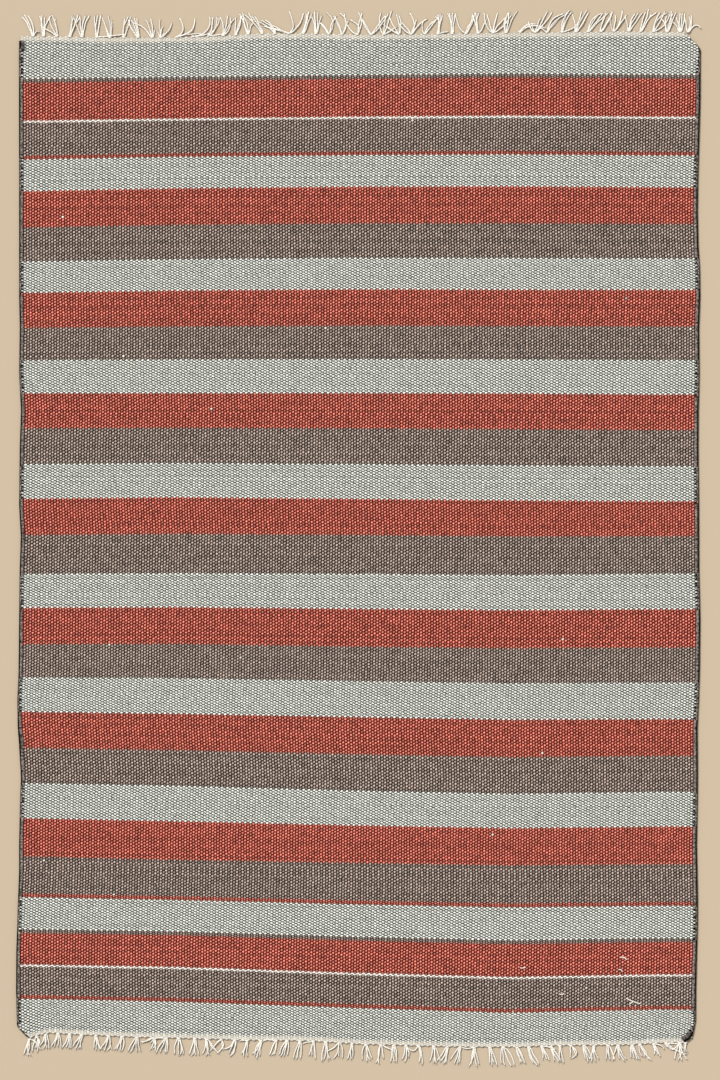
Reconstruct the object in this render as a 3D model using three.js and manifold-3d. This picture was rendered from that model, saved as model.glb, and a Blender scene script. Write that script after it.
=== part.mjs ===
// A flatweave rug lying flat on the floor: a ribbed woven ground, an overcast edge down each long side,
// and at each end a narrow pale heading whose warp ends are knotted in groups and cut to a fringe.
// Millimetres, +Z up. +Y runs along the rug to its far end and +X to its right side.
import * as THREE from "three";
import { mergeVertices } from "three/addons/utils/BufferGeometryUtils.js";
import Module from "manifold-3d";

const wasm = await Module();
wasm.setup();

// The rug as woven, edge to edge, and the gap between its pieces, wider at the headings for their slope.
const HALF_WIDTH = 610;
const HALF_LENGTH = 905;
const GAP = 0.3;
const HEADING_GAP = 0.34;
const MERGE_DISTANCE = 1e-3;

// The ground: one rib for each warp, raised on the top face.
const GROUND_THICKNESS = 5;
const RIB_PITCH = 4.88;
const RIB_HEIGHT = 0.8;

// The overcast edge, thicker where its thread is gathered at the near right corner.
const EDGE_WIDTH = 7;
const EDGE_THICKNESS = 6;
const EDGE_ROUNDING = 1.6;
const EDGE_END_WIDTH = 12;
const END_REACH = 30;

// The steps in a worn corner's line.
const CORNER_STEPS = 4;

// The heading, and the fringe of knotted warp ends that leaves it.
const HEADING_WIDTH = 8;
const HEADING_THICKNESS = 3.2;
const HEADING_LIFT = 0.4;
const GROUPS_PER_END = 50;
const STRANDS_PER_GROUP = 3;
const STRAND_WIDTH = 2.2;
const STRAND_TIP_WIDTH = 1.7;
const STRAND_HEIGHT = 2;
const STRAND_SPACING = 3.4;
const SPLAY_DEG = 3;
const KNOT_SIDES = 6;
const KNOT_RADIUS = { across: 5.4, along: 3 };
const KNOT_HEIGHT = 3.2;
const KNOT_BASE = 1.7;
const KNOT_TOP_SHARE = 0.6;

// How much the fringe wanders, in its knots' places and in the lean, bend and length of its strands,
// each drawn from its own lane of the repeatable wander below.
const PITCH_WANDER = { most: 2, lane: 1 };
const LEAN_WANDER_DEG = { most: 3, lane: 2 };
const BEND_WANDER = { most: 1.2, lane: 3 };
const LENGTH_WANDER = { most: 3, lane: 4 };
const WANDER_WAVE = { step: 12.9898, lane: 78.233, spread: 43758.5453 };

// How far each long edge bulges past the half width, at stations along the rug.
const LONG_EDGES = [
  { along: -885, left: 5, right: -6 },
  { along: -865, left: 5.5, right: -3.5 },
  { along: -810, left: 7, right: -3 },
  { along: -740, left: 6.5, right: -1.3 },
  { along: -690, left: 4.7, right: 0 },
  { along: -650, left: 3.5, right: 0.2 },
  { along: -600, left: 1.5, right: -0.6 },
  { along: -550, left: 1.5, right: -1.7 },
  { along: -470, left: -0.3, right: -0.2 },
  { along: -430, left: -1.8, right: 0.2 },
  { along: -390, left: 0.5, right: 0 },
  { along: -340, left: 4, right: -0.4 },
  { along: -290, left: 4.7, right: 1.9 },
  { along: -240, left: 2.5, right: 3.6 },
  { along: -145, left: 1.5, right: 4.7 },
  { along: -60, left: 0.5, right: 2.6 },
  { along: 5, left: -1.5, right: 2.4 },
  { along: 60, left: 1.5, right: 2.2 },
  { along: 165, left: 0.3, right: 1.2 },
  { along: 230, left: -1.8, right: 1.6 },
  { along: 300, left: 1.5, right: 3.2 },
  { along: 380, left: 0.3, right: 2.4 },
  { along: 435, left: 1.5, right: 4.6 },
  { along: 485, left: 1.5, right: 4 },
  { along: 530, left: 1.5, right: 1.2 },
  { along: 590, left: 1.5, right: 0 },
  { along: 650, left: 1.5, right: 0.8 },
  { along: 740, left: 1.8, right: 3.5 },
  { along: 800, left: 1.8, right: 5 },
  { along: 885, left: 1.8, right: 5 },
];

// How far each end bulges past the half length, at stations across the rug.
const END_EDGES = [
  { across: -595, far: -0.5, near: -5 },
  { across: -556, far: -0.5, near: -17.5 },
  { across: -462, far: -3, near: -14 },
  { across: -369, far: -3, near: -10.5 },
  { across: -275, far: -1.5, near: -8.5 },
  { across: -181, far: 4, near: -5 },
  { across: -88, far: 4, near: -5 },
  { across: 6, far: 2, near: 0.5 },
  { across: 99, far: 3, near: 4 },
  { across: 193, far: 4, near: 6 },
  { across: 287, far: 6, near: 6 },
  { across: 380, far: 6.5, near: 2 },
  { across: 474, far: 8.5, near: 4 },
  { across: 567, far: 7, near: 0 },
];

// What each worn corner has lost, across and along, and how flat it cuts, from 0, full round, to 1, straight.
// The far left one is whole.
const WORN_CORNERS = {
  farRight: { across: 27, along: 32, flatness: 0.83 },
  nearRight: { across: 17, along: 25, flatness: 0.25 },
  nearLeft: { across: 24, along: 25, flatness: 0.8 },
};

// Each end's fringe: its first and last knot across the rug, a seed for its wander, and its lie at stations
// across, as its lean to the right and its length.
const ENDS = {
  far: {
    outward: 1,
    seed: 0,
    firstKnot: -588,
    lastKnot: 572,
    lie: [
      { across: -590, lean: -14, length: 38 },
      { across: -535, lean: 0, length: 37 },
      { across: -490, lean: 14, length: 38 },
      { across: -440, lean: -4, length: 37 },
      { across: -385, lean: 6, length: 35 },
      { across: -300, lean: 33, length: 36 },
      { across: -225, lean: 2, length: 36 },
      { across: -160, lean: -30, length: 36 },
      { across: -90, lean: 0, length: 38 },
      { across: 0, lean: 9, length: 37 },
      { across: 110, lean: -8, length: 36 },
      { across: 200, lean: 6, length: 37 },
      { across: 260, lean: 2, length: 37 },
      { across: 325, lean: 33, length: 38 },
      { across: 450, lean: 24, length: 38 },
      { across: 590, lean: 16, length: 36 },
    ],
  },
  near: {
    outward: -1,
    seed: 100,
    firstKnot: -576,
    lastKnot: 566,
    lie: [
      { across: -590, lean: -14, length: 30 },
      { across: -530, lean: -4, length: 28 },
      { across: -440, lean: -17, length: 29 },
      { across: -340, lean: -12, length: 30 },
      { across: -240, lean: 4, length: 32 },
      { across: -90, lean: -8, length: 32 },
      { across: 60, lean: -4, length: 33 },
      { across: 180, lean: 6, length: 33 },
      { across: 360, lean: 8, length: 32 },
      { across: 470, lean: 2, length: 32 },
      { across: 590, lean: -8, length: 34 },
    ],
  },
};

const COLOURS = { ground: 0x9c7f72, edge: 0x4a4341, cotton: 0xe6dfd0 };
const YARN_ROUGHNESS = 0.95;

// A value from a table's column, straight between its rows and level past its ends.
function readTable(rows, station, column, at) {
  const next = rows.findIndex((row) => row[station] >= at);
  if (next === -1) return rows.at(-1)[column];
  if (next === 0) return rows[0][column];
  const before = rows[next - 1];
  const after = rows[next];
  return THREE.MathUtils.mapLinear(at, before[station], after[station], before[column], after[column]);
}

const leftX = (y) => -HALF_WIDTH - readTable(LONG_EDGES, "along", "left", y);
const rightX = (y) => HALF_WIDTH + readTable(LONG_EDGES, "along", "right", y);
const farY = (x) => HALF_LENGTH + readTable(END_EDGES, "across", "far", x);
const nearY = (x) => -HALF_LENGTH - readTable(END_EDGES, "across", "near", x);
const endY = (end, x) => (end.outward > 0 ? farY(x) : nearY(x));

// A repeatable wander of one kind, either way from 0, for one knot or strand of an end.
function wander(kind, end, index) {
  const wave = Math.sin((end.seed + index) * WANDER_WAVE.step + kind.lane * WANDER_WAVE.lane);
  const spread = wave * WANDER_WAVE.spread;
  return kind.most * (2 * (spread - Math.floor(spread)) - 1);
}

// An open path moved to its right by each point's own distance, with mitred corners.
function moveRight(path, distanceOf) {
  const rightOf = (a, b) => new THREE.Vector2(b.y - a.y, a.x - b.x).normalize();
  return path.map((point, i) => {
    const before = rightOf(path[Math.max(i - 1, 0)], path[Math.max(i, 1)]);
    const last = path.length - 1;
    const after = rightOf(path[Math.min(i, last - 1)], path[Math.min(i + 1, last)]);
    const mitre = before.clone().add(after).normalize();
    const distance = distanceOf(point) / mitre.dot(before);
    return new THREE.Vector2(point.x, point.y).addScaledVector(mitre, distance);
  });
}

// A flat plate of a plan outline, standing on the floor.
function plate(outline, thickness, rounding = 0) {
  return new THREE.ExtrudeGeometry(new THREE.Shape(outline), {
    depth: thickness - 2 * rounding,
    bevelEnabled: rounding > 0,
    bevelThickness: rounding,
    bevelSize: rounding,
    bevelOffset: -rounding,
    bevelSegments: 1,
    steps: 1,
  }).translate(0, 0, rounding);
}

// A geometry as a solid that can be joined and cut, and back.
function toSolid(geometry) {
  const bare = new THREE.BufferGeometry().setAttribute("position", geometry.getAttribute("position"));
  bare.setIndex(geometry.index);
  const merged = mergeVertices(bare, MERGE_DISTANCE);
  const triVerts = new Uint32Array(merged.index.array);
  return new wasm.Manifold(
    new wasm.Mesh({ numProp: 3, vertProperties: merged.attributes.position.array, triVerts }),
  );
}

function toGeometry(solid) {
  const mesh = solid.getMesh();
  const geometry = new THREE.BufferGeometry();
  geometry.setAttribute("position", new THREE.BufferAttribute(mesh.vertProperties, 3));
  geometry.setIndex(new THREE.BufferAttribute(mesh.triVerts, 1));
  geometry.computeVertexNormals();
  return geometry;
}

// A worn corner: a rounded line from the rug's end to its long side, with the edge's width at each point.
function wornCorner(sideX, cornerY, cut, width) {
  const onEnd = new THREE.Vector2(sideX - Math.sign(sideX) * cut.across, cornerY);
  const onSide = new THREE.Vector2(sideX, cornerY - Math.sign(cornerY) * cut.along);
  const chordMiddle = onEnd.clone().add(onSide).divideScalar(2);
  const pull = new THREE.Vector2(sideX, cornerY).lerp(chordMiddle, cut.flatness);
  const curve = new THREE.QuadraticBezierCurve(onEnd, pull, onSide);
  return curve.getPoints(CORNER_STEPS).map(({ x, y }) => ({ x, y, width }));
}

// Both long edges as paths with the rug on their right: up the left side, down the right side.
const stations = LONG_EDGES.slice(1, -1).map((row) => row.along);
const belowHeading = HEADING_WIDTH + HEADING_GAP;
const nearLeft = wornCorner(leftX(-HALF_LENGTH), nearY(-HALF_WIDTH), WORN_CORNERS.nearLeft, EDGE_WIDTH);
const nearRight = wornCorner(rightX(-HALF_LENGTH), nearY(HALF_WIDTH), WORN_CORNERS.nearRight, EDGE_END_WIDTH);
const farRight = wornCorner(rightX(HALF_LENGTH), farY(HALF_WIDTH), WORN_CORNERS.farRight, EDGE_WIDTH);
const leftPath = [
  ...nearLeft,
  ...stations.map((y) => ({ x: leftX(y), y, width: EDGE_WIDTH })),
  { x: leftX(HALF_LENGTH), y: farY(-HALF_WIDTH) - belowHeading, width: EDGE_WIDTH },
];
const rightPath = [
  ...farRight,
  ...stations.toReversed().map((y) => ({ x: rightX(y), y, width: EDGE_WIDTH })),
  ...nearRight.toReversed(),
];

// An open path run on past both its ends.
function extendEnds(path, reach) {
  const runOn = (from, to) => {
    const share = reach / Math.hypot(to.x - from.x, to.y - from.y);
    return { ...to, x: to.x + share * (to.x - from.x), y: to.y + share * (to.y - from.y) };
  };
  return [runOn(path[1], path[0]), ...path.slice(1, -1), runOn(path.at(-2), path.at(-1))];
}

// The overcast edge is the strip between its path and the same path moved in by the edge's width.
function edgeOutline(path, clearance) {
  const reaching = extendEnds(path, clearance);
  const outer = moveRight(reaching, () => -clearance);
  const inner = moveRight(reaching, (point) => point.width + clearance);
  return [...outer, ...inner.toReversed()];
}

// A plate that stands clear above and below the rug, to cut its pieces with.
function tallPlate(outline) {
  return toSolid(plate(outline, 3 * EDGE_THICKNESS).translate(0, 0, -EDGE_THICKNESS));
}

// The room that the overcast edges take with their gap, and all that lies between the long sides.
const sides = [leftPath, rightPath];
const edgeSpace = wasm.Manifold.union(sides.map((path) => tallPlate(edgeOutline(path, GAP))));
const insideSides = tallPlate(sides.flatMap((path) => extendEnds(path, END_REACH)));

// An end of the rug as a line from left to right, moved in by a distance and run on past both sides.
function endLine(end, inset) {
  const across = [-2 * HALF_WIDTH, ...END_EDGES.map((row) => row.across), 2 * HALF_WIDTH];
  return across.map((x) => new THREE.Vector2(x, endY(end, x) - end.outward * inset));
}

// The ground: a long ribbed plate cut to the rug's uneven outline, clear of its edges and headings.
function makeGround() {
  const ribs = Math.ceil((2 * (HALF_WIDTH + EDGE_WIDTH)) / RIB_PITCH);
  const halfSection = (ribs * RIB_PITCH) / 2;
  const section = [new THREE.Vector2(halfSection, 0), new THREE.Vector2(-halfSection, 0)];
  for (let i = 0; i < ribs; i++) {
    const valley = i * RIB_PITCH - halfSection;
    section.push(new THREE.Vector2(valley, GROUND_THICKNESS - RIB_HEIGHT));
    section.push(new THREE.Vector2(valley + RIB_PITCH / 2, GROUND_THICKNESS));
  }
  const length = 2 * (HALF_LENGTH + HEADING_WIDTH);
  const ribbed = plate(section, length).rotateX(Math.PI / 2).translate(0, length / 2, 0);
  const ends = [endLine(ENDS.near, belowHeading), endLine(ENDS.far, belowHeading).toReversed()];
  const cut = toSolid(ribbed).intersect(insideSides).intersect(tallPlate(ends.flat()));
  return toGeometry(cut.subtract(edgeSpace));
}

// One fringe strand's outline: up its right side from the knot to the cut tip, and back down its left.
function strandOutline(root, outward, leanDeg, length, bend) {
  const lean = THREE.MathUtils.degToRad(leanDeg);
  const ahead = new THREE.Vector2(Math.sin(lean), outward * Math.cos(lean));
  const right = new THREE.Vector2(Math.cos(lean), -outward * Math.sin(lean));
  const pointAt = (along, off) => root.clone().addScaledVector(ahead, along).addScaledVector(right, off);
  const sections = [
    { along: 0, off: 0, width: STRAND_WIDTH },
    { along: length / 2, off: bend, width: STRAND_WIDTH },
    { along: length, off: 0, width: STRAND_TIP_WIDTH },
  ];
  const rightSide = sections.map((s) => pointAt(s.along, s.off + s.width / 2));
  const leftSide = sections.map((s) => pointAt(s.along, s.off - s.width / 2));
  return [...rightSide, ...leftSide.toReversed()];
}

// A group of warps: its strands lie level on the floor, side by side, and join under one raised knot.
function makeGroup(end, group) {
  const evenX = THREE.MathUtils.lerp(end.firstKnot, end.lastKnot, group / (GROUPS_PER_END - 1));
  const x = evenX + wander(PITCH_WANDER, end, group);
  const y = endY(end, x);
  const lean = readTable(end.lie, "across", "lean", x) + wander(LEAN_WANDER_DEG, end, group);
  const reach = readTable(end.lie, "across", "length", x) - KNOT_RADIUS.along;
  const bend = wander(BEND_WANDER, end, group);
  const backY = y - end.outward * KNOT_RADIUS.along;
  const frontY = y + end.outward * KNOT_RADIUS.along;
  const outline = [
    new THREE.Vector2(x - KNOT_RADIUS.across, backY),
    new THREE.Vector2(x + KNOT_RADIUS.across, backY),
  ];
  for (let i = 0; i < STRANDS_PER_GROUP; i++) {
    const side = (STRANDS_PER_GROUP - 1) / 2 - i;
    const root = new THREE.Vector2(x + side * STRAND_SPACING, frontY);
    const length = reach + wander(LENGTH_WANDER, end, group * STRANDS_PER_GROUP + i);
    outline.push(...strandOutline(root, end.outward, lean + side * SPLAY_DEG, length, bend));
  }
  const knot = new THREE.CylinderGeometry(KNOT_TOP_SHARE, 1, KNOT_HEIGHT, KNOT_SIDES);
  knot.rotateX(Math.PI / 2).scale(KNOT_RADIUS.across, KNOT_RADIUS.along, 1);
  knot.translate(x, y, KNOT_BASE + KNOT_HEIGHT / 2);
  return toSolid(plate(outline, STRAND_HEIGHT)).add(toSolid(knot));
}

// The heading strip follows its end of the rug and stops at the worn corners.
function makeHeading(end) {
  const outline = [...endLine(end, 0), ...endLine(end, HEADING_WIDTH).toReversed()];
  const strip = plate(outline, HEADING_THICKNESS).translate(0, 0, HEADING_LIFT);
  return toSolid(strip).intersect(insideSides);
}

// A heading with its fringe: the strip at one end, and the knotted groups that leave it, clear of the edges.
function makeFringe(end) {
  const pieces = [makeHeading(end)];
  for (let group = 0; group < GROUPS_PER_END; group++) pieces.push(makeGroup(end, group));
  return toGeometry(wasm.Manifold.union(pieces).subtract(edgeSpace));
}

// An overcast edge: its strip with the top and bottom rounded over, as the wrapped thread leaves it.
function makeEdge(path) {
  return plate(edgeOutline(path, 0), EDGE_THICKNESS, EDGE_ROUNDING);
}

function namedMesh(name, geometry, colour) {
  const material = new THREE.MeshStandardMaterial({ color: colour, roughness: YARN_ROUGHNESS, metalness: 0 });
  const mesh = new THREE.Mesh(geometry, material);
  mesh.name = name;
  return mesh;
}

const rug = new THREE.Group();
rug.add(namedMesh("rug_body", makeGround(), COLOURS.ground));
rug.add(namedMesh("selvedge_left", makeEdge(leftPath), COLOURS.edge));
rug.add(namedMesh("selvedge_right", makeEdge(rightPath), COLOURS.edge));
rug.add(namedMesh("fringe_far", makeFringe(ENDS.far), COLOURS.cotton));
rug.add(namedMesh("fringe_near", makeFringe(ENDS.near), COLOURS.cotton));

// The rug lies centred on the origin, with its underside on the floor.
const middle = new THREE.Box3().setFromObject(rug).getCenter(new THREE.Vector3());
rug.position.set(-middle.x, -middle.y, 0);

const part = new THREE.Group();
part.add(rug);
export default part;
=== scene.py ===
import bpy
import numpy as np
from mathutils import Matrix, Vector


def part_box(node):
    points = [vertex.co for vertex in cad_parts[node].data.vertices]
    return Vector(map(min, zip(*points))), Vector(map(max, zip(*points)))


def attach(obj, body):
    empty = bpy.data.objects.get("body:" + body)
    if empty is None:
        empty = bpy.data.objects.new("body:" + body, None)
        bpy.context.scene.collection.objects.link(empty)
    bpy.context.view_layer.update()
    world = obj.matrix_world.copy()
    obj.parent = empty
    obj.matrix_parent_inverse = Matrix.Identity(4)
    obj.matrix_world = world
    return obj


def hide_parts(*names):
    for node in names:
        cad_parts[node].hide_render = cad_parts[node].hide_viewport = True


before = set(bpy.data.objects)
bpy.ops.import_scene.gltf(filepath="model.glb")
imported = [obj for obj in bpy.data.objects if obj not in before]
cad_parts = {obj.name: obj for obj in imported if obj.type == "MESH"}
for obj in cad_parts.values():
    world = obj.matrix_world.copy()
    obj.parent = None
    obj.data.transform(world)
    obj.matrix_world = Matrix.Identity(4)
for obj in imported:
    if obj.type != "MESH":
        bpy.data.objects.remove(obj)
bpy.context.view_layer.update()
bpy.ops.object.select_all(action="DESELECT")

# Ground cloth: cotton warps with the weft beaten down over them, as the underside and the rim show it.
# It is one flat woven length, laid on the floor, and all the other pieces are worked on it.
MM = 0.001
HALF_WIDTH = 610 * MM
HALF_LENGTH = 905 * MM
TUCK_UNDER_EDGE = 3.5 * MM
GROUND_TOP = 2.4 * MM
GROUND_UNDERSIDE = 0.2 * MM
GROUND_COLUMNS = 24
CORNER_STEPS = 4
YARN_GLOSS = 0.06
YARN_SHEEN = {"weight": 0.04, "roughness": 0.6}
UNDERSIDE = {
    "roughness": 0.92,
    "rib_pitch": 4.88 * MM,
    "fibre_scale": 600.0,
    "fibre_detail": 3.0,
    "bump": 0.8,
    "relief": 0.8 * MM,
}

# How far each long side bulges past the half width, and each end past the half length, in millimetres.
LONG_SIDES = np.array(
    [
        (-885, 5, -6),
        (-865, 5.5, -3.5),
        (-810, 7, -3),
        (-740, 6.5, -1.3),
        (-690, 4.7, 0),
        (-650, 3.5, 0.2),
        (-600, 1.5, -0.6),
        (-550, 1.5, -1.7),
        (-470, -0.3, -0.2),
        (-430, -1.8, 0.2),
        (-390, 0.5, 0),
        (-340, 4, -0.4),
        (-290, 4.7, 1.9),
        (-240, 2.5, 3.6),
        (-145, 1.5, 4.7),
        (-60, 0.5, 2.6),
        (5, -1.5, 2.4),
        (60, 1.5, 2.2),
        (165, 0.3, 1.2),
        (230, -1.8, 1.6),
        (300, 1.5, 3.2),
        (380, 0.3, 2.4),
        (435, 1.5, 4.6),
        (485, 1.5, 4),
        (530, 1.5, 1.2),
        (590, 1.5, 0),
        (650, 1.5, 0.8),
        (740, 1.8, 3.5),
        (800, 1.8, 5),
        (885, 1.8, 5),
    ],
    dtype=[("along", float), ("left", float), ("right", float)],
)
ENDS = np.array(
    [
        (-595, -0.5, -5),
        (-556, -0.5, -16.5),
        (-462, -3, -11.8),
        (-369, -3, -8.2),
        (-275, -1.5, -5.9),
        (-181, 4, -3),
        (-88, 4, -2.5),
        (6, 2, 3.5),
        (99, 3, 6.3),
        (193, 4, 8.7),
        (287, 6, 8.8),
        (380, 6.5, 5.5),
        (474, 8.5, 5.8),
        (567, 7, 0.6),
    ],
    dtype=[("across", float), ("far", float), ("near", float)],
)

# The stripes from the far end to the near one, each with its width in millimetres.
FAR_HEADING_WIDTH = 8.34
NEAR_HEADING_WIDTH = 6.9
STRIPES = np.array(
    [
        ("cotton", FAR_HEADING_WIDTH),
        ("sage", 65.9),
        ("brown", 6.3),
        ("red", 68.9),
        ("cream", 3),
        ("brown", 59.9),
        ("red", 5.7),
        ("sage", 57.5),
        ("red", 65.9),
        ("brown", 62),
        ("sage", 56.9),
        ("red", 65),
        ("brown", 59.8),
        ("sage", 61.1),
        ("red", 63),
        ("brown", 64.3),
        ("sage", 62.6),
        ("red", 64.9),
        ("brown", 70),
        ("sage", 61.8),
        ("red", 66.7),
        ("brown", 62.2),
        ("sage", 65),
        ("red", 66),
        ("brown", 64.7),
        ("sage", 63),
        ("red", 67.9),
        ("brown", 67.8),
        ("red", 6.2),
        ("sage", 58.5),
        ("brown", 6.3),
        ("red", 58.4),
        ("cream", 3),
        ("brown", 52.9),
        ("red", 6.2),
        ("sage", 57.2),
        ("cotton", NEAR_HEADING_WIDTH),
    ],
    dtype=[("yarn", "U8"), ("width", float)],
)

# How far the wefts are drawn along the rug at five places across it, in millimetres, from far to near.
BOW_ACROSS = (-592, -325, 8, 274, 540)
WEFT_BOW = np.array(
    [
        (832, (-6.0, -2.7, 1.0, 3.5, 1.3)),
        (634, (-6.5, -1.4, 1.6, 2.3, 0.5)),
        (448, (-4.4, -0.5, 1.9, 0.9, 0.8)),
        (263, (0.7, 0.9, 0.9, 0.1, -1.6)),
        (72, (0.6, 3.4, 0.3, -2.4, -3.9)),
        (-65, (0.3, 1.7, 0.4, -1.9, 0.8)),
        (-193, (2.4, 3.2, -2.0, -4.7, -3.4)),
        (-320, (8.0, 4.5, -1.5, -6.2, -5.2)),
        (-454, (10.5, 5.7, -3.5, -8.7, -5.2)),
        (-583, (9.7, 3.6, -2.2, -6.6, -4.3)),
        (-718, (10.9, 7.2, -3.0, -9.2, -5.4)),
        (-841, (13.0, 7.9, -3.9, -12.1, -6.4)),
    ],
    dtype=[("along", float), ("drawn", float, 5)],
)

# Each yarn's pick in millimetres and its colours: the body as dyed, a painted highlight on the crest and
# painted shade in the gaps. The painted shade between ribs or picks starts and is full at shares of the way
# from a bead's middle to its rim, and has a depth. The painted highlight on the crown starts and is full
# likewise. Patches close the painted shade here and there, unevenness varies the beads' tone, and flecks
# are a few pale beads.
DARK_WOOL = {
    "pick": 2.76,
    "rib_gap": (0.25, 0.92, 1),
    "pick_gap": (0.33, 1, 0.95),
    "rib_highlight": (0.8, 0.28),
    "pick_highlight": (0.95, 0.1),
    "rib_roundness": 0.48,
    "pick_roundness": 0.6,
    "patches": 0.4,
    "unevenness": 1.1,
    "slant": -0.28,
    "flecks": 0.0003,
}
YARNS = {
    "cotton": {
        "pick": 2.07,
        "body": (214, 208, 195),
        "crest": (228, 223, 212),
        "gap": (150, 142, 126),
        "rib_gap": (0.5, 1, 0.4),
        "pick_gap": (0.6, 1, 0.15),
        "rib_highlight": (0.9, 0.2),
        "pick_highlight": (0.7, 0.05),
        "rib_roundness": 0.62,
        "pick_roundness": 0.35,
        "patches": 0.2,
        "unevenness": 0.4,
        "slant": 0,
        "flecks": 0,
    },
    "sage": {
        "pick": 2.4,
        "body": (203, 205, 193),
        "crest": (255, 255, 247),
        "gap": (26, 29, 25),
        "rib_gap": (0.5, 1, 0.7),
        "pick_gap": (0.25, 0.88, 1),
        "rib_highlight": (0.82, 0.3),
        "pick_highlight": (0.95, 0.3),
        "rib_roundness": 0.55,
        "pick_roundness": 0.34,
        "patches": 0.08,
        "unevenness": 0.55,
        "slant": 0.3,
        "flecks": 0.0003,
    },
    "red": {
        **DARK_WOOL,
        "body": (194, 54, 31),
        "crest": (234, 178, 157),
        "gap": (78, 2, 1),
    },
    "brown": {
        **DARK_WOOL,
        "body": (147, 125, 113),
        "crest": (213, 196, 184),
        "gap": (14, 7, 3),
    },
    "cream": {
        "pick": 1.3,
        "body": (238, 230, 220),
        "crest": (250, 246, 238),
        "gap": (70, 50, 42),
        "rib_gap": (0.6, 1, 0.4),
        "pick_gap": (0.3, 0.8, 0.9),
        "rib_highlight": (0.9, 0.2),
        "pick_highlight": (0.9, 0.3),
        "rib_roundness": 0.62,
        "pick_roundness": 0.35,
        "patches": 0.3,
        "unevenness": 0.4,
        "slant": 0,
        "flecks": 0,
    },
}


def bulge(table, station, column, place):
    return np.interp(np.asarray(place) / MM, table[station], table[column]) * MM


def left_side(along):
    return -HALF_WIDTH - bulge(LONG_SIDES, "along", "left", along)


def right_side(along):
    return HALF_WIDTH + bulge(LONG_SIDES, "along", "right", along)


def far_end(across):
    return HALF_LENGTH + bulge(ENDS, "across", "far", across)


def near_end(across):
    return -HALF_LENGTH - bulge(ENDS, "across", "near", across)


def worn_corner(side, end, across, along, flatness):
    """A worn corner's line, from the rug's end round to its long side."""
    on_end = np.array((side - np.sign(side) * across * MM, end))
    on_side = np.array((side, end - np.sign(end) * along * MM))
    chord_middle = (on_end + on_side) / 2
    pull = np.array((side, end)) * (1 - flatness) + chord_middle * flatness
    t = np.linspace(0, 1, CORNER_STEPS + 1)[:, None]
    return (1 - t) ** 2 * on_end + 2 * t * (1 - t) * pull + t**2 * on_side


near_left = (left_side(-HALF_LENGTH), near_end(-HALF_WIDTH))
near_right = (right_side(-HALF_LENGTH), near_end(HALF_WIDTH))
far_right = (right_side(HALF_LENGTH), far_end(HALF_WIDTH))
WORN_CORNERS = {
    "near_left": worn_corner(*near_left, across=24, along=25, flatness=0.8),
    "near_right": worn_corner(*near_right, across=17, along=25, flatness=0.25),
    "far_right": worn_corner(*far_right, across=27, along=32, flatness=0.83),
}
RUG_PLACE = np.array(
    (
        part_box("selvedge_left")[0].x - left_side(LONG_SIDES["along"] * MM).min(),
        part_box("rug_body")[1].y - far_end(ENDS["across"] * MM).max() + FAR_HEADING_WIDTH * MM,
        0,
    )
)
stripe_edges = far_end(ENDS["across"] * MM).mean() - np.append(0, np.cumsum(STRIPES["width"])) * MM


def weft_lines(across, along):
    """Where wefts that lie at mean places along the rug run, at places across it."""
    drawn = [far_end(across) - stripe_edges[0]]
    drawn += [np.interp(across / MM, BOW_ACROSS, row["drawn"]) * MM for row in WEFT_BOW]
    drawn.append(near_end(across) - stripe_edges[-1])
    stations = np.concatenate([stripe_edges[:1], WEFT_BOW["along"] * MM, stripe_edges[-1:]])
    shifts = [np.interp(along, stations[::-1], column[::-1]) for column in np.transpose(drawn)]
    return along[:, None] + np.transpose(shifts)


def warp_lines(share, along):
    """Where warps at shares of the rug's width run, at places along it."""
    left = left_side(along) + TUCK_UNDER_EDGE
    right = right_side(along) - TUCK_UNDER_EDGE
    return left[:, None] + share * (right - left)[:, None]


def across_of(share):
    return (2 * share - 1) * (HALF_WIDTH - TUCK_UNDER_EDGE)


def dyed(colour):
    """A colour as seen, 0 to 255, made linear for the shader."""
    seen = np.array(colour) / 255
    linear = np.where(seen <= 0.04045, seen / 12.92, ((seen + 0.055) / 1.055) ** 2.4)
    return (*linear, 1.0)


def node(tree, kind, *inputs, **settings):
    """A node with its settings made, and its inputs linked or set in order."""
    made = tree.nodes.new("ShaderNode" + kind)
    for name, value in settings.items():
        setattr(made, name, value)
    for socket, value in zip(made.inputs, inputs):
        if isinstance(value, bpy.types.NodeSocket):
            tree.links.new(value, socket)
        elif value is not None:
            socket.default_value = value
    return made.outputs


def calc(tree, operation, *inputs):
    return node(tree, "Math", *inputs, operation=operation)[0]


def mix(tree, share, first, second):
    """Two colours mixed by a share."""
    made = tree.nodes.new("ShaderNodeMix")
    made.data_type = "RGBA"
    for socket, value in zip((made.inputs[0], made.inputs[6], made.inputs[7]), (share, first, second)):
        if isinstance(value, bpy.types.NodeSocket):
            tree.links.new(value, socket)
        else:
            socket.default_value = value
    return made.outputs[2]


def yarn_shader(name, roughness):
    """A new matt yarn material, with its node tree and shader."""
    finish = bpy.data.materials.new(name)
    finish.use_nodes = True
    shader = finish.node_tree.nodes["Principled BSDF"]
    shader.inputs["Roughness"].default_value = roughness
    shader.inputs["Specular IOR Level"].default_value = YARN_GLOSS
    shader.inputs["Sheen Weight"].default_value = YARN_SHEEN["weight"]
    shader.inputs["Sheen Roughness"].default_value = YARN_SHEEN["roughness"]
    return finish, finish.node_tree, shader


def raise_relief(tree, shader, height, strength, depth, normal=None):
    """A height made into a bump of the shader's surface."""
    bump = node(tree, "Bump", strength, depth)[0].node
    tree.links.new(height, bump.inputs["Height"])
    if normal:
        tree.links.new(normal, bump.inputs["Normal"])
    tree.links.new(bump.outputs[0], shader.inputs["Normal"])


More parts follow.
